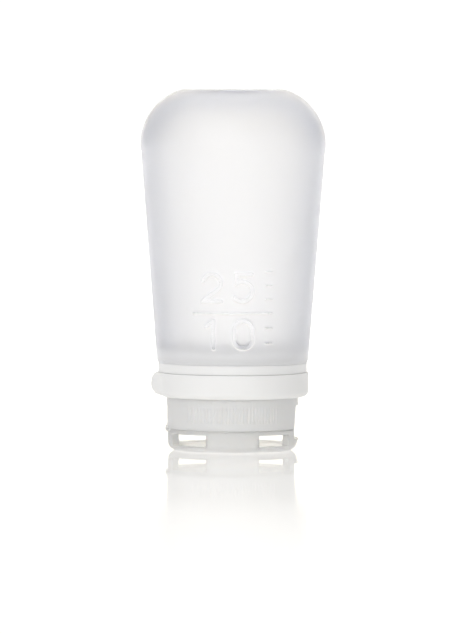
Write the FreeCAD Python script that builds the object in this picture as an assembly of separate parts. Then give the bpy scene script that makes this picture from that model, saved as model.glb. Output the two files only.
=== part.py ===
import FreeCAD, Part
import math
import os

# Travel squeeze bottle standing on its cap. Millimetres, +Z up, Z axis = axis of the bottle,
# origin at the middle of the lid's flat outer face. -Y is the front with the raised scale,
# -X the side of the lid's hinge and of the band's tab, +X the side of the thumb recess.

# ---------------------------------------------------------------- driving dimensions
# silicone bottle
TOP_Z = 102.1          # flat base of the bottle, uppermost here
SHOULDER_R = 16.3      # radius of the big rounded corner
SHOULDER_CR = 9.87     # its centre, from the axis
SHOULDER_CZ = 86.5     # its centre, height
TOP_EDGE_R = 6.0       # rounded rim between the flat base and the big corner
TAPER = 0.078          # radius lost per mm going down
WALL = 2.8             # silicone wall
LIP_Z = 24.8           # underside of the mouth lip
LIP_T = 1.6            # thickness of the mouth lip
LIP_EDGE_H = 1.3       # height of its rounded lower edge
LIP_EDGE_R = 20.98     # where that edge ends, from the axis
MOUTH_R = 15.7         # hole in the lip
CAVITY_FILLET = 1.2    # inside corner above the lip

# hard neck insert
NECK_BORE_R = 12.8
NECK_ROOT_R = 15.2     # thread root
NECK_TUBE_R = 15.6
NECK_RIM_Z = 8.2       # sealing rim
NECK_STEP_Z = 14.5     # end of the threaded length
NECK_FLANGE_R = 17.6
NECK_FLANGE_T = 1.3

# thread between neck and cap, right-handed
PITCH = 3.2
NECK_CREST_R = 16.4
THREAD_BASE_W = 1.3    # ridge width at its root
THREAD_CREST_W = 0.7   # ridge width at its crest
NECK_THREAD_Z = 9.55   # mid-height of the ridge at its start
NECK_THREAD_TURNS = 1.25

# clamp collar
COLLAR_R = 21.1
COLLAR_Z = 22.2
COLLAR_BORE_R = 15.65
HUB_R = 17.9
HUB_Z = 15.3
HUB_BEAD_R = 18.5
HUB_BEAD_H = 0.7
COLLAR_EDGE = 0.08     # bevels of its rim

# white band
BAND_R = 21.53
BAND_BORE_R = 18.2
BAND_RELIEF_R = 18.85
BAND_Z0 = 15.25
BAND_Z1 = 22.13
BAND_FILLET = 1.7      # lower edge
BAND_TOP_FILLET = 0.15
TAB_TIP_R = 23.1
TAB_R = 13.0           # plan radius of the tab
TAB_BLEND_R = 1.5      # plan radius of the blend into the ring

# screw cap
CAP_TOP_Z = 15.17
CAP_FLANGE_R = 18.62
CAP_FLANGE_H = 2.4
CAP_SKIRT_R = 18.5
CAP_BEVEL = 0.05
CAP_Z0 = 6.33          # lower edge of the skirt
CAP_BORE_R = 16.7
CAP_CREST_R = 15.5
CAP_THREAD_TURNS = 1.0
DECK_Z0 = 5.8
DECK_Z1 = 7.2
BOSS_R = 16.2
RIB_COUNT = 29
RIB_STEP = 3.0         # degrees between ribs
RIB_W = 0.6
RIB_H = 0.15           # above the skirt, so they also cross the flange
RIB_Z0 = 8.45
RIB_Z1 = 14.75
THUMB_X = 17.46        # flat of the thumb recess
THUMB_LEAN = 0.075     # how far it leans out on the cap, per mm
THUMB_Z0 = 3.45        # top of the lid's thumb lip

# spout and valve
SPOUT_R = 7.4
SPOUT_BORE_R = 6.2
SPOUT_Z0 = 1.75
SPOUT_LIP_T = 1.0
SPOUT_HOLE_R = 4.7
VALVE_R = 6.12
VALVE_FLANGE_T = 1.0
VALVE_DOME_R = 4.6
VALVE_DOME_RISE = 1.5
VALVE_SKIN = 0.6
SLIT_L = 5.2
SLIT_W = 0.12
RETAINER_R = 6.12
RETAINER_BORE_R = 4.9
RETAINER_T = 2.0

# gasket
GASKET_R0 = 13.5
GASKET_R1 = 16.4
GASKET_Z0 = 7.3
GASKET_Z1 = 8.1

# flip lid
LID_RIM_R = 18.38      # at its open edge
LID_R = 18.28          # above the rounded lower edge
LID_INNER_R = 16.5
LID_TOP_Z = 6.27
LID_FLOOR = 1.3
LID_FILLET = 2.6
LID_INNER_FILLET = 1.8
WINDOW_A0 = 24.0       # degrees from the front or back middle
WINDOW_HINGE_A1 = 68.0
WINDOW_THUMB_A1 = 60.5
WINDOW_Z0 = 1.75
WINDOW_Z1 = 5.0
THUMB_LIP_R = 18.52
THUMB_LIP_H = 0.6
THUMB_LIP_W = 10.0
PLUG_R = 4.3
PLUG_TOP_Z = 2.6
PLUG_BORE_R = 2.6

# living hinge
HINGE_X = -18.9
HINGE_Z = 6.29
LAND_X = -18.75
LAND_W = 10.0
LAND_H = 0.55
WEB_W = 9.4
WEB_T = 0.2
LOBE_R = 0.26

# raised scale on the front; heights of its lines are the true fill levels with the cap down
MARK_H = 0.2
MARK_DEPTH = 0.8       # how far the marks' roots reach into the wall
STROKE = 1.5
DIGIT_H = 9.1
DIGIT_W = 6.6
ROW_UP_Z = 42.3        # foot of the upper numerals
ROW_LOW_Z = 29.2       # foot of the lower numerals
RULE_Z = 39.6          # 25 ml
RULE_H = 0.8
RULE_X0 = -11.2
RULE_X1 = 11.3
DIGITS_X0 = -9.1
DIGIT_STEP = 8.7
TICK_X0 = 8.9
TICK_X1 = 11.3
TICK_H = 0.6
TICKS_Z = (31.2, 35.5, 43.6, 47.5, 51.3)  # 15, 20, 30, 35 and 40 ml

V = FreeCAD.Vector
AX = V(0, 0, 1)
O = V(0, 0, 0)


# ---------------------------------------------------------------- helpers
def turn(path):
    """Solid of revolution of a closed (r, z) path. A point is a corner; ("arc", mid, end) an arc."""
    edges, last, first = [], None, None
    for p in path:
        if p[0] == "arc":
            mid, end = (V(q[0], 0, q[1]) for q in p[1:])
            edges.append(Part.Arc(last, mid, end).toShape())
            last = end
            continue
        q = V(p[0], 0, p[1])
        if last is not None and last.distanceToPoint(q) > 1e-7:
            edges.append(Part.makeLine(last, q))
        if first is None:
            first = q
        last = q
    if last.distanceToPoint(first) > 1e-7:
        edges.append(Part.makeLine(last, first))
    face = Part.Face(Part.Wire(edges))
    return face.revolve(O, AX, 360)


def arc(centre, radius, a0, a1):
    """("arc", mid, end) about a centre in the (r, z) plane, from angle a0 to a1 in degrees."""
    pts = []
    for a in ((a0 + a1) / 2.0, a1):
        t = math.radians(a)
        pts.append((centre[0] + radius * math.cos(t), centre[1] + radius * math.sin(t)))
    return ("arc", pts[0], pts[1])


def at(centre, radius, a):
    t = math.radians(a)
    return (centre[0] + radius * math.cos(t), centre[1] + radius * math.sin(t))


def tube(r0, r1, z0, z1):
    return Part.makeCylinder(r1, z1 - z0, V(0, 0, z0)).cut(
        Part.makeCylinder(r0, z1 - z0 + 2, V(0, 0, z0 - 1))
    )


def block(x0, x1, y0, y1, z0, z1):
    return Part.makeBox(x1 - x0, y1 - y0, z1 - z0, V(x0, y0, z0))


def ridge(base_r, crest_r, z_mid, turns, start_deg):
    """Helical ridge with a trapezium section, standing on base_r and ending at crest_r."""
    height = PITCH * turns
    spine = Part.makeHelix(PITCH, height, (base_r + crest_r) / 2.0)
    b, c = THREAD_BASE_W / 2.0, THREAD_CREST_W / 2.0
    section = Part.makePolygon(
        [V(base_r, 0, -b), V(crest_r, 0, -c), V(crest_r, 0, c), V(base_r, 0, b), V(base_r, 0, -b)]
    )
    pipe = Part.Wire(spine.Edges).makePipeShell([section], True, True)
    pipe.rotate(O, AX, start_deg)
    pipe.translate(V(0, 0, z_mid))
    return pipe if pipe.Volume > 0 else pipe.reversed()


def one(shape, name):
    """The single solid of a shape."""
    shape = shape.removeSplitter()
    solids = shape.Solids
    if len(solids) != 1:
        raise SystemExit("%s has %d solids" % (name, len(solids)))
    return solids[0]


# ---------------------------------------------------------------- silicone bottle
ALPHA = math.degrees(math.atan(TAPER))
CA, SA = math.cos(math.radians(ALPHA)), math.sin(math.radians(ALPHA))
SC = (SHOULDER_CR, SHOULDER_CZ)


def wall_r(z, inset):
    """Radius of the tapered wall at a height, measured inward from the outer face by inset."""
    p = at(SC, SHOULDER_R - inset, -ALPHA)
    return p[0] - TAPER * (p[1] - z)


def bottle_profile():
    # the rim's arc touches the flat base and the big corner
    tz = TOP_Z - TOP_EDGE_R
    tc = (SHOULDER_CR + math.sqrt((SHOULDER_R - TOP_EDGE_R) ** 2 - (tz - SHOULDER_CZ) ** 2), tz)
    a_top = math.degrees(math.atan2(tz - SHOULDER_CZ, tc[0] - SHOULDER_CR))
    inner_r = SHOULDER_R - WALL
    inner_top = TOP_Z - WALL
    a_in = math.degrees(math.asin((inner_top - SHOULDER_CZ) / inner_r))
    # the lip's edge: an arc that leaves the wall smoothly and ends on the collar's rim
    ez = LIP_Z + LIP_EDGE_H
    wall = wall_r(ez, 0)
    a_lip = 2 * math.degrees(math.atan2(wall - LIP_EDGE_R, LIP_EDGE_H)) - ALPHA
    er = LIP_EDGE_H / (math.sin(math.radians(a_lip)) - SA)
    ec = (wall - er * CA, ez + er * SA)
    fz = LIP_Z + LIP_T + CAVITY_FILLET
    fc = (wall_r(fz, WALL) - CAVITY_FILLET / CA, fz)
    return [
        (0, TOP_Z),
        (tc[0], TOP_Z),
        arc(tc, TOP_EDGE_R, 90, a_top),
        arc(SC, SHOULDER_R, a_top, -ALPHA),
        at(ec, er, -ALPHA),
        arc(ec, er, -ALPHA, -a_lip),
        (MOUTH_R, LIP_Z),
        (MOUTH_R, LIP_Z + LIP_T),
        (fc[0], LIP_Z + LIP_T),
        arc(fc, CAVITY_FILLET, -90, -ALPHA),
        at(SC, inner_r, -ALPHA),
        arc(SC, inner_r, -ALPHA, a_in),
        (0, inner_top),
    ]


def prism(face, y0=-40.0, y1=-10.0):
    """A face drawn in the XZ plane, run along Y through the front wall."""
    f = face.copy()
    f.translate(V(0, y0, 0))
    return f.extrude(V(0, y1 - y0, 0))


def rect(x0, x1, z0, z1):
    return Part.Face(Part.makePolygon([V(x0, 0, z0), V(x1, 0, z0), V(x1, 0, z1), V(x0, 0, z1), V(x0, 0, z0)]))


def pill(x0, x1, z0, z1):
    """Upright or lying bar with round ends."""
    w, h = x1 - x0, z1 - z0
    r = min(w, h) / 2.0
    if w >= h:
        zc = (z0 + z1) / 2.0
        e = [
            Part.makeLine(V(x0 + r, 0, z0), V(x1 - r, 0, z0)),
            Part.Arc(V(x1 - r, 0, z0), V(x1, 0, zc), V(x1 - r, 0, z1)).toShape(),
            Part.makeLine(V(x1 - r, 0, z1), V(x0 + r, 0, z1)),
            Part.Arc(V(x0 + r, 0, z1), V(x0, 0, zc), V(x0 + r, 0, z0)).toShape(),
        ]
    else:
        xc = (x0 + x1) / 2.0
        e = [
            Part.Arc(V(x0, 0, z0 + r), V(xc, 0, z0), V(x1, 0, z0 + r)).toShape(),
            Part.makeLine(V(x1, 0, z0 + r), V(x1, 0, z1 - r)),
            Part.Arc(V(x1, 0, z1 - r), V(xc, 0, z1), V(x0, 0, z1 - r)).toShape(),
            Part.makeLine(V(x0, 0, z1 - r), V(x0, 0, z0 + r)),
        ]
    return Part.Face(Part.Wire(e))


def stroke_arc(cx, cz, r, a0, a1):
    """Part of a ring of mid radius r with round ends, angles in degrees from +X towards +Z."""
    h = STROKE / 2.0

    def p(rad, a):
        t = math.radians(a)
        return V(cx + rad * math.cos(t), 0, cz + rad * math.sin(t))

    m = (a0 + a1) / 2.0

    def end_mid(a, sign):
        t = math.radians(a)
        q = p(r, a)
        return V(q.x - sign * h * math.sin(t), 0, q.z + sign * h * math.cos(t))

    e = [
        Part.Arc(p(r + h, a0), p(r + h, m), p(r + h, a1)).toShape(),
        Part.Arc(p(r + h, a1), end_mid(a1, 1), p(r - h, a1)).toShape(),
        Part.Arc(p(r - h, a1), p(r - h, m), p(r - h, a0)).toShape(),
        Part.Arc(p(r - h, a0), end_mid(a0, -1), p(r + h, a0)).toShape(),
    ]
    return Part.Face(Part.Wire(e))


def bar(x0, z0, x1, z1):
    """Straight stroke with round ends between two points."""
    d = math.hypot(x1 - x0, z1 - z0)
    h = STROKE / 2.0
    f = pill(-h, d + h, -h, h)
    f.rotate(O, V(0, 1, 0), -math.degrees(math.atan2(z1 - z0, x1 - x0)))
    f.translate(V(x0, 0, z0))
    return f


def numeral(d, x, z):
    """Stroke faces of a numeral whose box has its lower left corner at (x, z)."""
    h = STROKE / 2.0
    x0, x1, z0, z1 = x + h, x + DIGIT_W - h, z + h, z + DIGIT_H - h
    r = (x1 - x0) / 2.0
    xc = (x0 + x1) / 2.0
    if d == 0:
        return [
            stroke_arc(xc, z1 - r, r, 0, 180),
            stroke_arc(xc, z0 + r, r, 180, 360),
            bar(x0, z0 + r, x0, z1 - r),
            bar(x1, z0 + r, x1, z1 - r),
        ]
    if d == 1:
        return [bar(xc + 0.4, z0, xc + 0.4, z1), bar(xc + 0.4, z1, xc - 1.5, z1 - 1.5)]
    if d == 2:
        t = math.radians(-38)
        px, pz = xc + r * math.cos(t), z1 - r + r * math.sin(t)
        return [stroke_arc(xc, z1 - r, r, -38, 165), bar(px, pz, x0, z0), bar(x0, z0, x1, z0)]
    if d == 5:
        rb = 2.75
        bx, bz = x1 - rb, z0 + rb
        t = math.radians(128)
        return [
            bar(x0 + 0.5, z1, x1 - 0.2, z1),
            bar(x0 + 0.5, z1, bx + rb * math.cos(t), bz + rb * math.sin(t)),
            stroke_arc(bx, bz, rb, -145, 128),
        ]
    raise SystemExit("no such numeral")


def scale_marks():
    """Two numerals with their rules, standing MARK_H proud of the tapered front wall."""
    faces = []
    for i, d in enumerate((2, 5)):
        faces += numeral(d, DIGITS_X0 + i * DIGIT_STEP, ROW_UP_Z)
    for i, d in enumerate((1, 0)):
        faces += numeral(d, DIGITS_X0 + i * DIGIT_STEP, ROW_LOW_Z)
    faces.append(pill(RULE_X0, RULE_X1, RULE_Z - RULE_H / 2, RULE_Z + RULE_H / 2))
    for z in TICKS_Z:
        faces.append(pill(TICK_X0, TICK_X1, z - TICK_H / 2, z + TICK_H / 2))
    solids = [prism(f) for f in faces]
    body = solids[0].fuse(solids[1:])
    za, zb = LIP_Z - 2.0, SHOULDER_CZ - 10.0
    outer = Part.makeCone(wall_r(za, -MARK_H), wall_r(zb, -MARK_H), zb - za, V(0, 0, za))
    inner = Part.makeCone(wall_r(za, MARK_DEPTH), wall_r(zb, MARK_DEPTH), zb - za, V(0, 0, za))
    return body.common(outer.cut(inner))


def bottle_body():
    return turn(bottle_profile()).fuse(scale_marks())


# ---------------------------------------------------------------- neck insert and collar
def threaded_neck():
    z_lip = LIP_Z + LIP_T
    z_top = z_lip + NECK_FLANGE_T
    body = turn([
        (NECK_BORE_R, NECK_RIM_Z + 0.3),
        (NECK_BORE_R + 0.3, NECK_RIM_Z),
        (NECK_ROOT_R - 0.4, NECK_RIM_Z),
        (NECK_ROOT_R, NECK_RIM_Z + 0.4),
        (NECK_ROOT_R, NECK_STEP_Z - 0.2),
        (NECK_TUBE_R, NECK_STEP_Z + 0.2),
        (NECK_TUBE_R, z_lip),
        (NECK_FLANGE_R, z_lip),
        (NECK_FLANGE_R, z_top - 0.7),
        ("arc", (NECK_FLANGE_R - 0.205, z_top - 0.205), (NECK_FLANGE_R - 0.7, z_top)),
        (NECK_BORE_R + 0.8, z_top),
        ("arc", (NECK_BORE_R + 0.234, z_top - 0.234), (NECK_BORE_R, z_top - 0.8)),
    ])
    thread = ridge(NECK_ROOT_R - 0.25, NECK_CREST_R, NECK_THREAD_Z, NECK_THREAD_TURNS, 0)
    return body.fuse(thread)


def collar_ring():
    return turn([
        (COLLAR_BORE_R, HUB_Z),
        (HUB_BEAD_R - 0.25, HUB_Z),
        (HUB_BEAD_R, HUB_Z + 0.25),
        (HUB_BEAD_R, HUB_Z + HUB_BEAD_H),
        (HUB_R, HUB_Z + HUB_BEAD_H + 0.4),
        (HUB_R, COLLAR_Z),
        (COLLAR_R - COLLAR_EDGE, COLLAR_Z),
        (COLLAR_R, COLLAR_Z + COLLAR_EDGE),
        (COLLAR_R, LIP_Z - COLLAR_EDGE),
        (COLLAR_R - COLLAR_EDGE, LIP_Z),
        (COLLAR_BORE_R, LIP_Z),
    ])


# ---------------------------------------------------------------- white band
def lock_band():
    tc = V(-(TAB_TIP_R - TAB_R), 0, 0)
    far, near = BAND_R + TAB_BLEND_R, TAB_R + TAB_BLEND_R
    # centre of the blend: far from the axis by `far`, from the tab's centre by `near`
    bx = (near ** 2 - far ** 2 - tc.x ** 2) / (-2.0 * tc.x)
    by = math.sqrt(far ** 2 - bx ** 2)
    top = V(bx, by, 0)
    ring_p = V(bx * BAND_R / far, by * BAND_R / far, 0)
    tab_p = tc + (top - tc) * (TAB_R / near)
    towards = V(-(top.x - (ring_p.x + tab_p.x) / 2), -(top.y - (ring_p.y + tab_p.y) / 2), 0)
    mid = top + towards.normalize() * TAB_BLEND_R

    def flip(p):
        return V(p.x, -p.y, p.z)

    wire = Part.Wire([
        Part.Arc(flip(ring_p), V(BAND_R, 0, 0), ring_p).toShape(),
        Part.Arc(ring_p, mid, tab_p).toShape(),
        Part.Arc(tab_p, V(-TAB_TIP_R, 0, 0), flip(tab_p)).toShape(),
        Part.Arc(flip(tab_p), flip(mid), flip(ring_p)).toShape(),
    ])
    solid = Part.Face(wire).extrude(V(0, 0, BAND_Z1 - BAND_Z0))
    solid.translate(V(0, 0, BAND_Z0))
    low = [e for e in solid.Edges if abs(e.BoundBox.ZMax - BAND_Z0) < 1e-6]
    solid = solid.makeFillet(BAND_FILLET, low)
    high = [e for e in solid.Edges if abs(e.BoundBox.ZMin - BAND_Z1) < 1e-6]
    solid = solid.makeFillet(BAND_TOP_FILLET, high)
    zb = HUB_Z + HUB_BEAD_H + 0.3
    bore = turn([
        (0, BAND_Z0 - 1),
        (BAND_RELIEF_R, BAND_Z0 - 1),
        (BAND_RELIEF_R, zb),
        (BAND_BORE_R, zb + 0.45),
        (BAND_BORE_R, BAND_Z1 + 1),
        (0, BAND_Z1 + 1),
    ])
    return solid.cut(bore)


# ---------------------------------------------------------------- cap
def thumb_cut(z0, z1):
    """What the thumb recess takes away: upright on the lid, leaning out on the cap."""
    def flat(z):
        return THUMB_X + THUMB_LEAN * max(z - CAP_Z0, 0.0)

    zs = sorted({z0, min(max(CAP_Z0, z0), z1), z1})
    pts = [V(flat(z), -8, z) for z in zs] + [V(THUMB_X + 6, -8, z1), V(THUMB_X + 6, -8, z0)]
    return Part.Face(Part.makePolygon(pts + pts[:1])).extrude(V(0, 16, 0))


def screw_cap():
    f0 = CAP_TOP_Z - CAP_FLANGE_H
    body = turn([
        (0, DECK_Z0),
        (BOSS_R - 0.3, DECK_Z0),
        (BOSS_R, DECK_Z0 + 0.3),
        (BOSS_R, CAP_Z0),
        (CAP_SKIRT_R - CAP_BEVEL, CAP_Z0),
        (CAP_SKIRT_R, CAP_Z0 + CAP_BEVEL),
        (CAP_SKIRT_R, f0),
        (CAP_FLANGE_R - 0.06, f0),
        (CAP_FLANGE_R, f0 + 0.06),
        (CAP_FLANGE_R, CAP_TOP_Z - CAP_BEVEL),
        (CAP_FLANGE_R - CAP_BEVEL, CAP_TOP_Z),
        (CAP_BORE_R + 0.3, CAP_TOP_Z),
        (CAP_BORE_R, CAP_TOP_Z - 0.3),
        (CAP_BORE_R, DECK_Z1),
        (0, DECK_Z1),
    ])
    spout = Part.makeCylinder(SPOUT_R, DECK_Z0 - SPOUT_Z0 + 0.5, V(0, 0, SPOUT_Z0))
    rim = [e for e in spout.Edges if abs(e.BoundBox.ZMax - SPOUT_Z0) < 1e-6]
    spout = spout.makeFillet(0.5, rim)
    body = body.fuse(spout)
    body = body.cut(Part.makeCylinder(SPOUT_BORE_R, 20, V(0, 0, SPOUT_Z0 + SPOUT_LIP_T)))
    body = body.cut(Part.makeCone(SPOUT_HOLE_R + 0.3, SPOUT_HOLE_R, 0.4, V(0, 0, SPOUT_Z0 - 0.05)))
    body = body.cut(Part.makeCylinder(SPOUT_HOLE_R, 20, V(0, 0, SPOUT_Z0 - 1)))
    # grip ribs on the front and back of the skirt
    ribs = []
    lean = (RIB_COUNT - 1) / 2.0
    rod_r = (RIB_W ** 2 / 4 + RIB_H ** 2) / (2 * RIB_H)
    base = Part.makeCylinder(rod_r, RIB_Z1 - RIB_Z0, V(CAP_SKIRT_R + RIB_H - rod_r, 0, RIB_Z0))
    for side in (-90, 90):
        for i in range(RIB_COUNT):
            rib = base.copy()
            rib.rotate(O, AX, side + (i - lean) * RIB_STEP)
            ribs.append(rib)
    body = body.fuse(ribs)
    # thread that runs in the neck's, half a turn round from it
    lead = NECK_THREAD_Z + PITCH * 0.5
    drop = 0.25
    thread = ridge(CAP_BORE_R + 0.25, CAP_CREST_R, lead - PITCH * drop, CAP_THREAD_TURNS, -360.0 * drop)
    body = body.fuse(thread)
    body = body.cut(thumb_cut(CAP_Z0 - 1, f0))
    land = block(LAND_X, -CAP_BORE_R - 0.3, -LAND_W / 2, LAND_W / 2, CAP_Z0, CAP_Z0 + LAND_H)
    return body.fuse(land)


def cap_gasket():
    return tube(GASKET_R0, GASKET_R1, GASKET_Z0, GASKET_Z1)


def valve():
    z0 = SPOUT_Z0 + SPOUT_LIP_T
    z1 = z0 + VALVE_FLANGE_T
    rise = VALVE_DOME_RISE
    ball = (VALVE_DOME_R ** 2 + rise ** 2) / (2 * rise)
    cz = z0 + rise - ball
    out = ball + VALVE_SKIN
    inner_half = math.degrees(math.asin(VALVE_DOME_R / ball))
    out_a = math.degrees(math.asin((z1 - cz) / out))
    body = turn([
        (0, cz + ball),
        arc((0, cz), ball, 90, 90 - inner_half),
        (VALVE_R, z0),
        (VALVE_R, z1),
        at((0, cz), out, out_a),
        arc((0, cz), out, out_a, 90),
    ])
    for a in (45, 135):
        slit = block(-SLIT_L / 2, SLIT_L / 2, -SLIT_W / 2, SLIT_W / 2, z0, z0 + 6)
        slit.rotate(O, AX, a)
        body = body.cut(slit)
    return body


def valve_retainer():
    z0 = SPOUT_Z0 + SPOUT_LIP_T + VALVE_FLANGE_T
    z1 = z0 + RETAINER_T
    return turn([
        (RETAINER_BORE_R, z0),
        (RETAINER_R, z0),
        (RETAINER_R, z1 - 0.4),
        (RETAINER_R - 0.4, z1),
        (RETAINER_BORE_R + 0.3, z1),
        (RETAINER_BORE_R, z1 - 0.3),
    ])


# ---------------------------------------------------------------- lid
def sector(r0, r1, z0, z1, a0, a1):
    """Ring sector between two angles, in degrees from +X."""
    pts = [V(r * math.cos(math.radians(a)), r * math.sin(math.radians(a)), z0)
           for r, a in ((r0, a0), (r1, a0), (r1, (a0 + a1) / 2), (r1, a1), (r0, a1), (r0, (a0 + a1) / 2))]
    w = Part.Wire([
        Part.makeLine(pts[0], pts[1]),
        Part.Arc(pts[1], pts[2], pts[3]).toShape(),
        Part.makeLine(pts[3], pts[4]),
        Part.Arc(pts[4], pts[5], pts[0]).toShape(),
    ])
    return Part.Face(w).extrude(V(0, 0, z1 - z0))


def flip_lid():
    inner = LID_INNER_R
    fo, fi = LID_FILLET, LID_INNER_FILLET
    body = turn([
        (0, 0),
        (LID_R - fo, 0),
        arc((LID_R - fo, fo), fo, -90, 0),
        (LID_RIM_R, LID_TOP_Z - CAP_BEVEL),
        (LID_RIM_R - CAP_BEVEL, LID_TOP_Z),
        (inner, LID_TOP_Z),
        (inner, LID_FLOOR + fi),
        arc((inner - fi, LID_FLOOR + fi), fi, 0, -90),
        (0, LID_FLOOR),
    ])
    # thumb lip, then the recess above it
    lip = Part.makeCylinder(THUMB_LIP_R, THUMB_LIP_H, V(0, 0, THUMB_Z0 - THUMB_LIP_H)).cut(
        Part.makeCylinder(LID_R - 0.4, 10, V(0, 0, 0))
    ).common(block(10, 30, -THUMB_LIP_W / 2, THUMB_LIP_W / 2, 0, 10))
    body = body.fuse(lip)
    body = body.cut(thumb_cut(THUMB_Z0, LID_TOP_Z + 1))
    # windows, two in front and two behind
    for mid in (-90, 90):
        for s in (-1, 1):
            far = WINDOW_THUMB_A1 if s * mid < 0 else WINDOW_HINGE_A1
            a, b = sorted((mid + s * WINDOW_A0, mid + s * far))
            body = body.cut(sector(LID_R - 4, LID_R + 3, WINDOW_Z0, WINDOW_Z1, a, b))
    z1 = LID_TOP_Z
    land = block(LAND_X, -inner - 0.3, -LAND_W / 2, LAND_W / 2, z1 - LAND_H, z1)
    return body.fuse(land)


def lid_plug():
    return turn([
        (PLUG_BORE_R, LID_FLOOR),
        (PLUG_R, LID_FLOOR),
        (PLUG_R, PLUG_TOP_Z - 0.4),
        (PLUG_R - 0.4, PLUG_TOP_Z),
        (PLUG_BORE_R + 0.4, PLUG_TOP_Z),
        (PLUG_BORE_R, PLUG_TOP_Z - 0.4),
    ])


def living_hinge():
    w = WEB_W / 2
    web = block(LAND_X - WEB_T, LAND_X, -w, w, LID_TOP_Z - LAND_H + 0.1, CAP_Z0 + LAND_H - 0.1)
    keep = block(LAND_X - 3, LAND_X, -w, w, 0, 20)
    lobes = []
    for z in (LID_TOP_Z - 0.22, CAP_Z0 + 0.22):
        rod = Part.makeCylinder(LOBE_R, WEB_W, V(LAND_X - 0.02, -w, z), V(0, 1, 0))
        lobes.append(rod.common(keep))
    return web.fuse(lobes)


# ---------------------------------------------------------------- write the pieces
PIECES = {
    "bottle_body": bottle_body,
    "threaded_neck": threaded_neck,
    "collar_ring": collar_ring,
    "lock_band": lock_band,
    "screw_cap": screw_cap,
    "cap_gasket": cap_gasket,
    "valve": valve,
    "valve_retainer": valve_retainer,
    "flip_lid": flip_lid,
    "lid_plug": lid_plug,
    "living_hinge": living_hinge,
}

os.makedirs("parts", exist_ok=True)
for name, make in PIECES.items():
    solid = one(make(), name)
    if not solid.isValid():
        raise SystemExit("%s is not a valid solid" % name)
    bb = solid.BoundBox
    print("%-15s %8.1f mm3  x %.2f..%.2f  y %.2f..%.2f  z %.2f..%.2f" % (
        name, solid.Volume, bb.XMin, bb.XMax, bb.YMin, bb.YMax, bb.ZMin, bb.ZMax))
    solid.exportStep(os.path.join("parts", name + ".step"))
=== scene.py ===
import math

import bpy
import numpy as np
from mathutils import Matrix, Vector

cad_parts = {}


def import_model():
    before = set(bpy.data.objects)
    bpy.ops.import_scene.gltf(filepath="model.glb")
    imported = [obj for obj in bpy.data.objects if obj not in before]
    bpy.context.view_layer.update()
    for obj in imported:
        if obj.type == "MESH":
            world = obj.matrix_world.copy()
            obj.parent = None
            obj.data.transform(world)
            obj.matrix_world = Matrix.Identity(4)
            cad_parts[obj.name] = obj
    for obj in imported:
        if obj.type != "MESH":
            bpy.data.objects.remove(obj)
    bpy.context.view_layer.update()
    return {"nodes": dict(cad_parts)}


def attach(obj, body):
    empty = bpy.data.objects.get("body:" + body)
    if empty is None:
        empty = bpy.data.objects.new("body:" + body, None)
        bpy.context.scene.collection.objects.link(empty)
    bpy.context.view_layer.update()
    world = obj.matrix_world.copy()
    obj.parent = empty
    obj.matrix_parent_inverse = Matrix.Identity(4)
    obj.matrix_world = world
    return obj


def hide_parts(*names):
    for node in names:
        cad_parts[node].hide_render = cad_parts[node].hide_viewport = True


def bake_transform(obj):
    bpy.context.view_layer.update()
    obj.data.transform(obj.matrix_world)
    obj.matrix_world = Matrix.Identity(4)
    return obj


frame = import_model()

NODES = frame["nodes"]
MM = 0.001
SCENE = bpy.context.scene

# ------------------------------------------------------------------ dimensions, mm, as in the CAD
TOP_Z, SHOULDER_R, SHOULDER_CR, SHOULDER_CZ = 102.1, 16.3, 9.87, 86.5
TAPER, WALL = 0.078, 2.8
LIP_Z, LIP_T, LIP_EDGE_H, LIP_EDGE_R, MOUTH_R, CAVITY_FILLET = 24.8, 1.6, 1.3, 20.98, 15.7, 1.2
TOP_EDGE_R = 6.0
ALPHA = math.atan(TAPER)

MARK_H, STROKE = 0.2, 1.5
DIGIT_H, DIGIT_W, DIGITS_X0, DIGIT_STEP = 9.1, 6.6, -9.1, 8.7
ROW_UP_Z, ROW_LOW_Z = 42.3, 29.2
RULE_Z, RULE_H, RULE_X0, RULE_X1 = 39.6, 0.8, -11.2, 11.3
TICK_X0, TICK_X1, TICK_H = 8.9, 11.3, 0.6
TICKS_Z = (31.2, 35.5, 43.6, 47.5, 51.3)

BAND_R, BAND_BORE_R, BAND_RELIEF_R = 21.53, 18.2, 18.85
BAND_Z0, BAND_Z1 = 15.25, 22.13
BAND_FILLET, BAND_TOP_FILLET = 1.7, 0.15
TAB_TIP_R, TAB_R, TAB_BLEND_R = 23.1, 13.0, 1.5

LAND_X, WEB_W = -18.75, 9.4
WEB_Z0, WEB_Z1, WEB_BEADS, WEB_BEAD_R = 5.81, 6.79, (6.05, 6.55), 0.22
GAP = 0.03             # hair gap between the silicone and what clamps it


# ------------------------------------------------------------------ mesh helpers
def mesh_object(name, verts, faces, smooth=True):
    me = bpy.data.meshes.new(name)
    me.from_pydata([tuple(v) for v in verts], [], faces)
    me.update()
    if smooth:
        me.polygons.foreach_set("use_smooth", [True] * len(me.polygons))
    ob = bpy.data.objects.new(name, me)
    SCENE.collection.objects.link(ob)
    return ob


def arc_pts(c, r, a0, a1, n):
    """n points of an arc after its first, angles in radians."""
    return [(c[0] + r * math.cos(a0 + (a1 - a0) * i / n), c[1] + r * math.sin(a0 + (a1 - a0) * i / n)) for i in range(1, n + 1)]


def oval_pts(c, a, b, t0, t1, n):
    return [(c[0] + a * math.cos(t0 + (t1 - t0) * i / n), c[1] + b * math.sin(t0 + (t1 - t0) * i / n)) for i in range(1, n + 1)]


def line_pts(p, q, n):
    return [(p[0] + (q[0] - p[0]) * i / n, p[1] + (q[1] - p[1]) * i / n) for i in range(1, n + 1)]


# ------------------------------------------------------------------ raised scale as a height field
def seg_d(x, z, ax, az, bx, bz):
    dx, dz = bx - ax, bz - az
    t = np.clip(((x - ax) * dx + (z - az) * dz) / (dx * dx + dz * dz), 0, 1)
    return np.hypot(x - ax - t * dx, z - az - t * dz)


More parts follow.
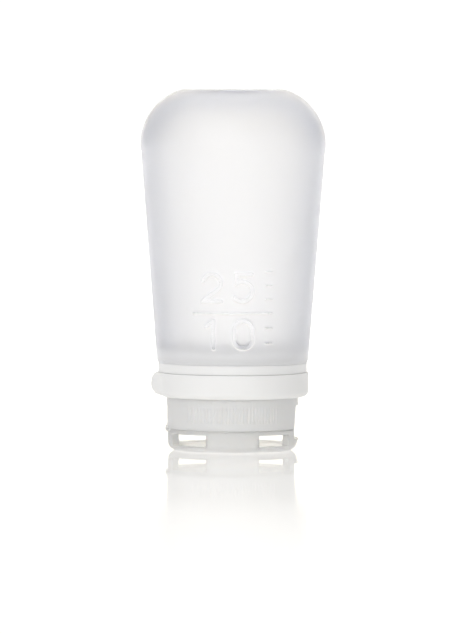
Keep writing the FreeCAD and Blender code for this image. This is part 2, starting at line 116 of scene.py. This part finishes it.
def arc_d(x, z, cx, cz, r, a0, a1):
    """Distance to an arc's middle line, a0 to a1 in degrees, counter-clockwise."""
    ang = np.degrees(np.arctan2(z - cz, x - cx))
    mid, half = (a0 + a1) / 2.0, (a1 - a0) / 2.0
    off = (ang - mid + 180.0) % 360.0 - 180.0
    on = np.abs(np.hypot(x - cx, z - cz) - r)
    ends = []
    for a in (a0, a1):
        t = math.radians(a)
        ends.append(np.hypot(x - cx - r * math.cos(t), z - cz - r * math.sin(t)))
    return np.where(np.abs(off) <= half, on, np.minimum(*ends))


def numeral_d(d, x, z, X, Z):
    h = STROKE / 2.0
    x0, x1, z0, z1 = X + h, X + DIGIT_W - h, Z + h, Z + DIGIT_H - h
    r, xc = (x1 - x0) / 2.0, (x0 + x1) / 2.0
    if d == 0:
        parts = [arc_d(x, z, xc, z1 - r, r, 0, 180), arc_d(x, z, xc, z0 + r, r, 180, 360),
                 seg_d(x, z, x0, z0 + r, x0, z1 - r), seg_d(x, z, x1, z0 + r, x1, z1 - r)]
    elif d == 1:
        parts = [seg_d(x, z, xc + 0.4, z0, xc + 0.4, z1), seg_d(x, z, xc + 0.4, z1, xc - 1.5, z1 - 1.5)]
    elif d == 2:
        t = math.radians(-38)
        px, pz = xc + r * math.cos(t), z1 - r + r * math.sin(t)
        parts = [arc_d(x, z, xc, z1 - r, r, -38, 165), seg_d(x, z, px, pz, x0, z0), seg_d(x, z, x0, z0, x1, z0)]
    else:
        rb = 2.75
        bx, bz, t = x1 - rb, z0 + rb, math.radians(128)
        parts = [seg_d(x, z, x0 + 0.5, z1, x1 - 0.2, z1),
                 seg_d(x, z, x0 + 0.5, z1, bx + rb * math.cos(t), bz + rb * math.sin(t)),
                 arc_d(x, z, bx, bz, rb, -145, 128)]
    return np.minimum.reduce(parts) - h


def pill_d(x, z, x0, x1, zm, height):
    r = height / 2.0
    return seg_d(x, z, x0 + r, zm, x1 - r, zm) - r


def marks_height(x, z):
    """Height of the raised scale above the wall, mm, with soft moulded edges."""
    d = [numeral_d(n, x, z, DIGITS_X0 + i * DIGIT_STEP, ROW_UP_Z) for i, n in enumerate((2, 5))]
    d += [numeral_d(n, x, z, DIGITS_X0 + i * DIGIT_STEP, ROW_LOW_Z) for i, n in enumerate((1, 0))]
    d.append(pill_d(x, z, RULE_X0, RULE_X1, RULE_Z, RULE_H))
    d += [pill_d(x, z, TICK_X0, TICK_X1, t, TICK_H) for t in TICKS_Z]
    d = np.minimum.reduce(d)
    t = np.clip((0.3 - d) / 0.7, 0, 1)
    return MARK_H * t * t * (3 - 2 * t)


# ------------------------------------------------------------------ silicone bottle
def smooth(t):
    t = np.clip(t, 0, 1)
    return t * t * (3 - 2 * t)


def wall_point(radius):
    return (SHOULDER_CR + radius * math.cos(-ALPHA), SHOULDER_CZ + radius * math.sin(-ALPHA))


def wall_r(z, inset):
    p = wall_point(SHOULDER_R - inset)
    return p[0] - TAPER * (p[1] - z)


def bottle():
    sc = (SHOULDER_CR, SHOULDER_CZ)
    rows = []
    # base, uppermost here, with its softly rounded rim
    fz = TOP_Z - TOP_EDGE_R
    fr = SHOULDER_CR + math.sqrt((SHOULDER_R - TOP_EDGE_R) ** 2 - (fz - SHOULDER_CZ) ** 2)
    a_join = math.atan2(fz - SHOULDER_CZ, fr - SHOULDER_CR)
    rows += line_pts((0, TOP_Z), (fr, TOP_Z), 9)
    rows += arc_pts((fr, fz), TOP_EDGE_R, math.pi / 2, a_join, 10)
    rows += arc_pts(sc, SHOULDER_R, a_join, -ALPHA, 36)
    z_hi, z_lo = 53.0, 27.0
    rows += line_pts(rows[-1], (wall_r(z_hi, 0), z_hi), 14)
    rows += line_pts(rows[-1], (wall_r(z_lo, 0), z_lo), 162)
    ez = LIP_Z + LIP_EDGE_H
    wall = wall_r(ez, 0)
    a_lip = 2 * math.atan2(wall - LIP_EDGE_R, LIP_EDGE_H) - ALPHA
    er = LIP_EDGE_H / (math.sin(a_lip) - math.sin(ALPHA))
    ec = (wall - er * math.cos(ALPHA), ez + er * math.sin(ALPHA))
    rows += line_pts(rows[-1], (wall, ez), 2)
    rows += arc_pts(ec, er, -ALPHA, -a_lip, 8)
    n_outer = len(rows)
    # lip and inside
    low, high = LIP_Z + GAP, LIP_Z + LIP_T - GAP
    rows += line_pts(rows[-1], (LIP_EDGE_R - 0.2, low), 2)
    rows += line_pts(rows[-1], (MOUTH_R + 0.3, low), 4)
    rows += arc_pts((MOUTH_R + 0.3, low + 0.3), 0.3, -math.pi / 2, -math.pi, 4)
    rows += line_pts(rows[-1], (MOUTH_R, high - 0.3), 3)
    rows += arc_pts((MOUTH_R + 0.3, high - 0.3), 0.3, math.pi, math.pi / 2, 4)
    iz = high + CAVITY_FILLET
    ic = (wall_r(iz, WALL) - CAVITY_FILLET / math.cos(ALPHA), iz)
    rows += line_pts(rows[-1], (ic[0], high), 3)
    rows += arc_pts(ic, CAVITY_FILLET, -math.pi / 2, -ALPHA, 6)
    ir = SHOULDER_R - WALL
    rows += line_pts(rows[-1], wall_point(ir), 16)
    a_in = math.asin((TOP_Z - WALL - SHOULDER_CZ) / ir)
    rows += arc_pts(sc, ir, -ALPHA, a_in, 22)
    rows += line_pts(rows[-1], (1.6, TOP_Z - WALL), 6)

    dense = math.radians(34)
    n_dense, n_rest = 168, 118
    phi = [-dense + 2 * dense * i / n_dense for i in range(n_dense)]
    phi += [dense + (2 * math.pi - 2 * dense) * i / n_rest for i in range(n_rest)]
    phi = np.array(phi)
    n = len(phi)

    r = np.array([p[0] for p in rows])[:, None]
    z = np.array([p[1] for p in rows])[:, None]
    R = np.repeat(r, n, axis=1)
    Z = np.repeat(z, n, axis=1)
    front = (np.cos(phi) > 0.5)[None, :] & (Z < 54.0) & (np.arange(len(rows))[:, None] < n_outer)
    lift = np.where(front, marks_height(R * np.sin(phi)[None, :], Z), 0.0)
    # skin = roughness: satin, smoother on the marks and on the inside behind them;
    # clear = how see-through it is: less so at the mouth, where it is clamped on the white neck
    polish = np.clip(lift / MARK_H * 2.5 - 1.5, 0, 1)
    inside = np.repeat(np.arange(len(rows))[:, None] >= n_outer, n, axis=1)
    behind = smooth((np.cos(phi)[None, :] - 0.8) / 0.12) * smooth((57.0 - Z) / 6.0)
    skin = np.where(inside, 0.36 - 0.2 * behind, 0.33 - 0.18 * polish)
    lip = np.where(inside, smooth((28.0 - Z) / 2.0), smooth((30.8 - Z) / 4.3))
    clear = (0.8 + 0.2 * polish) * (1 - lip) + 0.36 * lip
    skin = np.append(skin.reshape(-1), [0.33, 0.36])
    clear = np.append(clear.reshape(-1), [0.8, 0.8])
    R = (R + lift * math.cos(ALPHA)) * 0.9999  # inside the CAD's facets
    Z = Z - lift * math.sin(ALPHA)
    X, Y = R * np.sin(phi)[None, :], -R * np.cos(phi)[None, :]
    verts = np.stack([X, Y, Z], axis=-1).reshape(-1, 3) * MM
    verts = np.vstack([verts, [[0, 0, TOP_Z * MM], [0, 0, (TOP_Z - WALL) * MM]]])
    top, under = len(verts) - 2, len(verts) - 1
    faces = []
    for k in range(len(rows) - 1):
        a, b = k * n, (k + 1) * n
        for i in range(n):
            j = (i + 1) % n
            faces.append((a + i, b + i, b + j, a + j))
    last = (len(rows) - 1) * n
    for i in range(n):
        j = (i + 1) % n
        faces.append((top, i, j))
        faces.append((under, last + j, last + i))
    ob = mesh_object("silicone_bottle", verts, faces)
    ob.data.attributes.new("skin", "FLOAT", "POINT").data.foreach_set("value", skin)
    ob.data.attributes.new("clear", "FLOAT", "POINT").data.foreach_set("value", clear)
    return ob


# ------------------------------------------------------------------ white band with its tab
def band():
    tc = -(TAB_TIP_R - TAB_R)
    far, near = BAND_R + TAB_BLEND_R, TAB_R + TAB_BLEND_R
    bx = (near ** 2 - far ** 2 - tc ** 2) / (-2.0 * tc)
    by = math.sqrt(far ** 2 - bx ** 2)
    ring_a = math.atan2(by, -bx)
    tab_p = (tc + (bx - tc) * TAB_R / near, by * TAB_R / near)
    tab_a = math.atan2(tab_p[1], -tab_p[0])

    def outer(a):
        """Plan radius at an angle from -X."""
        a = abs(a)
        if a >= ring_a:
            return BAND_R
        c, s = -math.cos(a), math.sin(a)
        if a <= tab_a:
            b = c * tc
            return b + math.sqrt(b * b - tc * tc + TAB_R ** 2)
        b = c * bx + s * by
        return b - math.sqrt(max(b * b - far ** 2 + TAB_BLEND_R ** 2, 0.0))

    dense = ring_a * 1.15
    angles = [-dense + 2 * dense * i / 96 for i in range(96)]
    angles += [dense + (2 * math.pi - 2 * dense) * i / 200 for i in range(200)]
    n = len(angles)
    loops = []
    zb = 15.3 + 0.7 + 0.3
    for a in angles:
        w = a if a <= math.pi else a - 2 * math.pi
        tab = max(0.0, min(1.0, (ring_a - abs(w)) / (ring_a * 0.45)))
        tab = tab * tab * (3 - 2 * tab)
        ro = outer(w)
        # the ring has a round lower edge; the tab is rounded nearly to a half circle
        la, lb = BAND_FILLET + 0.8 * tab, BAND_FILLET + 1.5 * tab
        ua, ub = BAND_TOP_FILLET + 1.65 * tab, BAND_TOP_FILLET + 2.85 * tab
        z0 = BAND_Z0 + 0.4 * tab
        pts = [(BAND_RELIEF_R, BAND_Z0)]
        pts += line_pts(pts[-1], (ro - la, z0), 3)
        pts += oval_pts((ro - la, z0 + lb), la, lb, -math.pi / 2, 0, 14)
        pts += line_pts(pts[-1], (ro, BAND_Z1 - ub), 5)
        pts += oval_pts((ro - ua, BAND_Z1 - ub), ua, ub, 0, math.pi / 2, 12)
        pts += line_pts(pts[-1], (BAND_BORE_R + 0.25, BAND_Z1), 4)
        pts += arc_pts((BAND_BORE_R + 0.25, BAND_Z1 - 0.25), 0.25, math.pi / 2, math.pi, 3)
        pts += line_pts(pts[-1], (BAND_BORE_R, zb + 0.45), 3)
        pts += line_pts(pts[-1], (BAND_RELIEF_R, zb), 2)
        c, s = -math.cos(w), math.sin(w)
        loops.append([(p[0] * c * MM, p[0] * s * MM, p[1] * MM) for p in pts])
    m = len(loops[0])
    verts = [v for loop in loops for v in loop]
    faces = []
    for i in range(n):
        j = (i + 1) % n
        for k in range(m):
            q = (k + 1) % m
            faces.append((i * m + k, i * m + q, j * m + q, j * m + k))
    return mesh_object("white_band", verts, faces)


# ------------------------------------------------------------------ bending web between cap and lid
def hinge_web():
    """A thin strap with a bead along each edge, fine enough along Z to bend."""
    half = WEB_W / 2
    z0, z1 = WEB_Z0, WEB_Z1
    n = 40
    section = []
    for i in range(n + 1):
        z = z0 + (z1 - z0) * i / n
        bead = 0.0
        for zc in WEB_BEADS:
            d = abs(z - zc)
            if d < WEB_BEAD_R:
                bead = max(bead, math.sqrt(WEB_BEAD_R ** 2 - d * d))
        end = min(i, n - i) / 3.0
        t = max(0.19, bead) * min(1.0, 0.35 + 0.65 * end)
        section.append((LAND_X - t, z))
    ys = [-half + 2 * half * i / 24 for i in range(25)]
    verts, faces = [], []
    for y in ys:
        taper = min(1.0, 0.5 + (half - abs(y)) / 0.8)
        for x, z in section:
            verts.append(((LAND_X + (x - LAND_X) * taper) * MM, y * MM, z * MM))
        for x, z in section:
            verts.append((LAND_X * MM, y * MM, z * MM))
    m = 2 * (n + 1)
    for a in range(len(ys) - 1):
        p, q = a * m, (a + 1) * m
        for i in range(n):
            faces.append((p + i, q + i, q + i + 1, p + i + 1))
            o = n + 1
            faces.append((p + o + i + 1, q + o + i + 1, q + o + i, p + o + i))
        faces.append((p + n + 1, q + n + 1, q, p))
        faces.append((p + n, q + n, q + m - 1, p + m - 1))
    e = (len(ys) - 1) * m
    for i in range(n):
        faces.append((i, i + 1, n + 2 + i, n + 1 + i))
        faces.append((e + i + 1, e + i, e + n + 1 + i, e + n + 2 + i))
    return mesh_object("hinge_web", verts, faces)


# ------------------------------------------------------------------ materials
def nodes_of(name):
    mat = bpy.data.materials.new(name)
    mat.use_nodes = True
    nt = mat.node_tree
    nt.nodes.clear()
    out = nt.nodes.new("ShaderNodeOutputMaterial")
    bsdf = nt.nodes.new("ShaderNodeBsdfPrincipled")
    nt.links.new(bsdf.outputs["BSDF"], out.inputs["Surface"])
    return mat, nt, bsdf, out


def noise(nt, scale, detail=3.0, rough=0.55):
    co = nt.nodes.new("ShaderNodeTexCoord")
    tex = nt.nodes.new("ShaderNodeTexNoise")
    tex.inputs["Scale"].default_value = scale
    tex.inputs["Detail"].default_value = detail
    tex.inputs["Roughness"].default_value = rough
    nt.links.new(co.outputs["Object"], tex.inputs["Vector"])
    return tex


def ramp(nt, source, stops):
    node = nt.nodes.new("ShaderNodeValToRGB")
    cr = node.color_ramp
    while len(cr.elements) < len(stops):
        cr.elements.new(0.5)
    for e, (pos, col) in zip(cr.elements, stops):
        e.position = pos
        e.color = (*col, 1.0) if len(col) == 3 else col
    nt.links.new(source, node.inputs["Fac"])
    return node


def span(nt, source, lo, hi, a=0.3, b=0.7):
    node = nt.nodes.new("ShaderNodeMapRange")
    node.inputs["From Min"].default_value = a
    node.inputs["From Max"].default_value = b
    node.inputs["To Min"].default_value = lo
    node.inputs["To Max"].default_value = hi
    nt.links.new(source, node.inputs["Value"])
    return node


def bump(nt, height, strength, distance):
    node = nt.nodes.new("ShaderNodeBump")
    node.inputs["Strength"].default_value = strength
    node.inputs["Distance"].default_value = distance
    nt.links.new(height, node.inputs["Height"])
    return node


def absorb(nt, out, colour, density):
    v = nt.nodes.new("ShaderNodeVolumeAbsorption")
    v.inputs["Color"].default_value = (*colour, 1.0)
    v.inputs["Density"].default_value = density
    nt.links.new(v.outputs["Volume"], out.inputs["Volume"])


def attribute(nt, name):
    node = nt.nodes.new("ShaderNodeAttribute")
    node.attribute_name = name
    return node.outputs["Fac"]


def frosted(name, light, dark, transmission, rough, ior, grain, density, tint, depth=0.0):
    """Frosted see-through moulding: cloudy colour, uneven satin skin, fine blasted grain.
    A transmission or roughness given as a word is the name of a mesh attribute."""
    mat, nt, b, out = nodes_of(name)
    cloud = noise(nt, 55.0, 4.0)
    col = ramp(nt, cloud.outputs["Fac"], [(0.3, dark), (0.7, light)])
    nt.links.new(col.outputs["Color"], b.inputs["Base Color"])
    uneven = noise(nt, 420.0, 3.0).outputs["Fac"]
    if isinstance(rough, str):
        add = nt.nodes.new("ShaderNodeMath")
        add.operation = "ADD"
        nt.links.new(attribute(nt, rough), add.inputs[0])
        nt.links.new(span(nt, uneven, -0.05, 0.05).outputs["Result"], add.inputs[1])
        nt.links.new(add.outputs["Value"], b.inputs["Roughness"])
    else:
        nt.links.new(span(nt, uneven, rough - 0.05, rough + 0.05).outputs["Result"], b.inputs["Roughness"])
    if isinstance(transmission, str):
        nt.links.new(attribute(nt, transmission), b.inputs["Transmission Weight"])
    else:
        b.inputs["Transmission Weight"].default_value = transmission
    fine = noise(nt, 3200.0, 2.0, 0.6)
    nt.links.new(bump(nt, fine.outputs["Fac"], grain, 0.00006).outputs["Normal"], b.inputs["Normal"])
    b.inputs["IOR"].default_value = ior
    if depth > 0:
        b.inputs["Subsurface Weight"].default_value = 1.0
        b.inputs["Subsurface Radius"].default_value = (1.0, 0.97, 0.93)
        b.inputs["Subsurface Scale"].default_value = depth
    if density > 0:
        absorb(nt, out, tint, density)
    return mat


def satin(name, light, dark, rough, grain, subsurface):
    """Opaque soft moulding with a satin skin."""
    mat, nt, b, out = nodes_of(name)
    cloud = noise(nt, 70.0, 4.0)
    col = ramp(nt, cloud.outputs["Fac"], [(0.3, dark), (0.7, light)])
    nt.links.new(col.outputs["Color"], b.inputs["Base Color"])
    skin = noise(nt, 500.0, 3.0)
    nt.links.new(span(nt, skin.outputs["Fac"], rough - 0.06, rough + 0.06).outputs["Result"], b.inputs["Roughness"])
    fine = noise(nt, 2600.0, 2.0, 0.6)
    nt.links.new(bump(nt, fine.outputs["Fac"], grain, 0.00006).outputs["Normal"], b.inputs["Normal"])
    b.inputs["Subsurface Weight"].default_value = subsurface
    b.inputs["Subsurface Radius"].default_value = (1.0, 0.95, 0.9)
    b.inputs["Subsurface Scale"].default_value = 0.002
    return mat


SILICONE = frosted("silicone_frosted", (0.986, 0.986, 0.982), (0.98, 0.98, 0.976), "clear", "skin", 1.41, 0.25, 16.0, (0.28, 0.41, 0.96))
SILICONE_THIN = frosted("silicone_clear", (0.998, 0.998, 0.995), (0.992, 0.992, 0.99), 0.8, 0.4, 1.41, 0.25, 16.0, (0.28, 0.41, 0.96))
PLASTIC = frosted("plastic_frosted", (0.99, 0.99, 0.982), (0.98, 0.98, 0.972), 0.2, 0.45, 1.49, 0.2, 0.0, (0.8, 0.8, 0.8), depth=0.0015)
PLASTIC_NECK = frosted("plastic_neck", (0.992, 0.992, 0.988), (0.985, 0.985, 0.98), 0.0, 0.45, 1.49, 0.2, 0.0, (0.8, 0.8, 0.8))
PLASTIC_LID = frosted("plastic_lid", (0.99, 0.99, 0.982), (0.98, 0.98, 0.972), 0.5, 0.4, 1.49, 0.2, 0.0, (0.8, 0.8, 0.8), depth=0.004)
WHITE = satin("silicone_white", (0.91, 0.91, 0.905), (0.88, 0.88, 0.875), 0.5, 0.25, 0.3)
WHITE_HARD = satin("plastic_white", (0.91, 0.91, 0.905), (0.89, 0.89, 0.885), 0.42, 0.15, 0.3)


def dress(ob, mat):
    ob.data.materials.clear()
    ob.data.materials.append(mat)


# ------------------------------------------------------------------ pieces
body = bottle()
dress(body, SILICONE)
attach(body, "bottle")
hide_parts("bottle_body")

ring = band()
dress(ring, WHITE)
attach(ring, "band")
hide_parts("lock_band")

web = hinge_web()
dress(web, PLASTIC)
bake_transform(web)
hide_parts("living_hinge")

dress(NODES["flip_lid"], PLASTIC_LID)
dress(NODES["threaded_neck"], PLASTIC_NECK)
for n in ("screw_cap", "valve_retainer"):
    dress(NODES[n], PLASTIC)
dress(NODES["collar_ring"], WHITE_HARD)
for n in ("cap_gasket", "lid_plug"):
    dress(NODES[n], WHITE)
dress(NODES["valve"], SILICONE_THIN)


# ------------------------------------------------------------------ floor, light, camera
# light round the object, by compass: 0 and 1 in front, 0.25 left, 0.5 behind, 0.75 right
ROUND = [
    (0.00, (0.74, 0.74, 0.74)),
    (0.04, (0.87, 0.87, 0.87)),
    (0.08, (0.69, 0.69, 0.69)),
    (0.12, (0.3, 0.3, 0.3)),
    (0.17, (0.04, 0.043, 0.05)),
    (0.25, (0.02, 0.023, 0.029)),
    (0.33, (0.06, 0.065, 0.075)),
    (0.38, (0.2, 0.205, 0.215)),
    (0.42, (0.4, 0.395, 0.38)),
    (0.45, (0.64, 0.6, 0.515)),
    (0.55, (0.64, 0.6, 0.515)),
    (0.58, (0.43, 0.425, 0.41)),
    (0.62, (0.27, 0.275, 0.285)),
    (0.67, (0.16, 0.167, 0.18)),
    (0.75, (0.04, 0.043, 0.05)),
    (0.80, (0.012, 0.012, 0.013)),
    (0.90, (0.02, 0.02, 0.02)),
    (0.95, (0.29, 0.29, 0.29)),
    (1.00, (0.74, 0.74, 0.74)),
]
ROUND_LIGHT = 2.42


def floor():
    s, z = 6.0, -0.00003
    ob = mesh_object("floor", [(-s, -s, z), (s, -s, z), (s, s, z), (-s, s, z)], [(0, 1, 2, 3)], smooth=False)
    mat = bpy.data.materials.new("floor_white")
    mat.use_nodes = True
    nt = mat.node_tree
    nt.nodes.clear()
    out = nt.nodes.new("ShaderNodeOutputMaterial")
    glow = nt.nodes.new("ShaderNodeEmission")
    glow.inputs["Color"].default_value = (1.0, 0.987, 0.962, 1)
    # a polished sheet near the object that turns matt further out
    co = nt.nodes.new("ShaderNodeTexCoord")
    dist = nt.nodes.new("ShaderNodeVectorMath")
    dist.operation = "LENGTH"
    nt.links.new(co.outputs["Object"], dist.inputs[0])
    # brighter towards the backdrop
    sep = nt.nodes.new("ShaderNodeSeparateXYZ")
    nt.links.new(co.outputs["Object"], sep.inputs["Vector"])
    back = span(nt, sep.outputs["Y"], 1.09, 1.75, 0.03, 0.4)
    # lit from below, most of all under the lid
    under = span(nt, dist.outputs["Value"], 3.4, 1.0, 0.0115, 0.0172)
    under.interpolation_type = "SMOOTHSTEP"
    lit = nt.nodes.new("ShaderNodeMath")
    lit.operation = "MULTIPLY"
    nt.links.new(back.outputs["Result"], lit.inputs[0])
    nt.links.new(under.outputs["Result"], lit.inputs[1])
    # painted soft shade around the foot: the floor's glow is dimmed near the object
    shade = span(nt, dist.outputs["Value"], 0.84, 1.0, 0.02, 0.1)
    shade.interpolation_type = "SMOOTHSTEP"
    foot = nt.nodes.new("ShaderNodeMath")
    foot.operation = "MULTIPLY"
    nt.links.new(lit.outputs["Value"], foot.inputs[0])
    nt.links.new(shade.outputs["Result"], foot.inputs[1])
    nt.links.new(foot.outputs["Value"], glow.inputs["Strength"])
    gloss = nt.nodes.new("ShaderNodeBsdfGlossy")
    gloss.inputs["Color"].default_value = (1, 1, 1, 1)
    nt.links.new(span(nt, dist.outputs["Value"], 0.03, 0.2, 0.05, 0.4).outputs["Result"], gloss.inputs["Roughness"])
    mix = nt.nodes.new("ShaderNodeMixShader")
    wide = nt.nodes.new("ShaderNodeVectorMath")
    wide.operation = "MULTIPLY"
    wide.inputs[1].default_value = (2.6, 1.0, 1.0)
    nt.links.new(co.outputs["Object"], wide.inputs[0])
    oval = nt.nodes.new("ShaderNodeVectorMath")
    oval.operation = "LENGTH"
    nt.links.new(wide.outputs["Vector"], oval.inputs[0])
    fade = ramp(nt, oval.outputs["Value"], [(0.0, (0.88,) * 3), (0.16, (0.74,) * 3), (0.30, (0.30,) * 3), (0.44, (0.0,) * 3)])
    near = nt.nodes.new("ShaderNodeMath")
    near.operation = "MULTIPLY"
    nt.links.new(fade.outputs["Color"], near.inputs[0])
    nt.links.new(span(nt, dist.outputs["Value"], 0.0, 1.0, 0.0115, 0.0172).outputs["Result"], near.inputs[1])
    graze = nt.nodes.new("ShaderNodeFresnel")
    graze.inputs["IOR"].default_value = 1.45
    shine = nt.nodes.new("ShaderNodeMath")
    shine.operation = "MULTIPLY"
    nt.links.new(near.outputs["Value"], shine.inputs[0])
    nt.links.new(graze.outputs["Fac"], shine.inputs[1])
    nt.links.new(shine.outputs["Value"], mix.inputs["Fac"])
    nt.links.new(glow.outputs["Emission"], mix.inputs[1])
    nt.links.new(gloss.outputs["BSDF"], mix.inputs[2])
    nt.links.new(mix.outputs["Shader"], out.inputs["Surface"])
    dress(ob, mat)


def world():
    w = bpy.data.worlds.new("studio")
    SCENE.world = w
    w.use_nodes = True
    nt = w.node_tree
    nt.nodes.clear()
    out = nt.nodes.new("ShaderNodeOutputWorld")
    seen = nt.nodes.new("ShaderNodeBackground")
    seen.inputs["Color"].default_value = (1, 1, 1, 1)
    seen.inputs["Strength"].default_value = 1.06
    # a lit backdrop behind, a large soft light in front on the left, dark sides
    lit = nt.nodes.new("ShaderNodeBackground")
    lit.inputs["Strength"].default_value = ROUND_LIGHT
    co = nt.nodes.new("ShaderNodeTexCoord")
    sep = nt.nodes.new("ShaderNodeSeparateXYZ")
    nt.links.new(co.outputs["Generated"], sep.inputs["Vector"])
    turn = nt.nodes.new("ShaderNodeMath")
    turn.operation = "ARCTAN2"
    nt.links.new(sep.outputs["X"], turn.inputs[0])
    nt.links.new(sep.outputs["Y"], turn.inputs[1])
    round_ = span(nt, turn.outputs["Value"], 0.0, 1.0, -math.pi, math.pi)
    nt.links.new(ramp(nt, round_.outputs["Result"], ROUND).outputs["Color"], lit.inputs["Color"])
    # soft light from above, mostly from the left
    sky = nt.nodes.new("ShaderNodeBackground")
    sky.inputs["Color"].default_value = (1, 1, 1, 1)
    nt.links.new(span(nt, sep.outputs["X"], 1.33, 1.02, -0.1, 0.5).outputs["Result"], sky.inputs["Strength"])
    high = span(nt, sep.outputs["Z"], 0.0, 1.0, 0.5, 0.9)
    high.interpolation_type = "SMOOTHSTEP"
    up = nt.nodes.new("ShaderNodeMixShader")
    nt.links.new(high.outputs["Result"], up.inputs["Fac"])
    nt.links.new(lit.outputs["Background"], up.inputs[1])
    nt.links.new(sky.outputs["Background"], up.inputs[2])
    path = nt.nodes.new("ShaderNodeLightPath")
    mix = nt.nodes.new("ShaderNodeMixShader")
    nt.links.new(path.outputs["Is Camera Ray"], mix.inputs["Fac"])
    nt.links.new(up.outputs["Shader"], mix.inputs[1])
    nt.links.new(seen.outputs["Background"], mix.inputs[2])
    nt.links.new(mix.outputs["Shader"], out.inputs["Surface"])


def area(name, place, aim, size, watts):
    data = bpy.data.lights.new(name, "AREA")
    data.shape = "RECTANGLE"
    data.size, data.size_y = size
    data.energy = watts
    ob = bpy.data.objects.new(name, data)
    SCENE.collection.objects.link(ob)
    ob.location = place
    ob.rotation_euler = (Vector(aim) - Vector(place)).to_track_quat("-Z", "Y").to_euler()
    ob.visible_glossy = False          # no hard-edged patch on the polished floor
    return ob


def camera():
    """Long lens, level with the bottle's upper end, tilted down a little."""
    px = 0.283 * MM                    # metres per pixel at the bottle's axis
    f_px = 5300.0
    dist = f_px * px
    cx, cy = 232.7, 450.1              # where the axis meets the floor, in the picture
    horizon = 75.0
    eye = Vector((-(cx - 230.0) * px, -dist, (cy - horizon) * px))
    data = bpy.data.cameras.new("camera")
    data.sensor_width = 36.0
    data.sensor_fit = "AUTO"
    data.lens = f_px / 634.0 * 36.0
    data.clip_start, data.clip_end = 0.05, 50.0
    ob = bpy.data.objects.new("camera", data)
    SCENE.collection.objects.link(ob)
    ob.location = eye
    tilt = math.atan((317.0 - horizon) / f_px)
    level = Matrix.Rotation(math.pi / 2 - tilt, 3, "X")
    roll = Matrix.Rotation(math.radians(0.13), 3, "Z")
    ob.rotation_euler = (level @ roll).to_euler()
    SCENE.camera = ob


floor()
world()
area("key", (-0.35, -1.2, 0.6), (0, 0, 0.05), (0.7, 0.7), 0.1)
area("rim", (0.45, 0.55, 0.5), (0, 0, 0.09), (0.45, 0.45), 0.36)
camera()
SCENE.view_settings.view_transform = "Standard"
# light passes many frosted walls before it leaves the bottle
SCENE.cycles.max_bounces = 64
SCENE.cycles.diffuse_bounces = 32
SCENE.cycles.glossy_bounces = 16
SCENE.cycles.transmission_bounces = 48
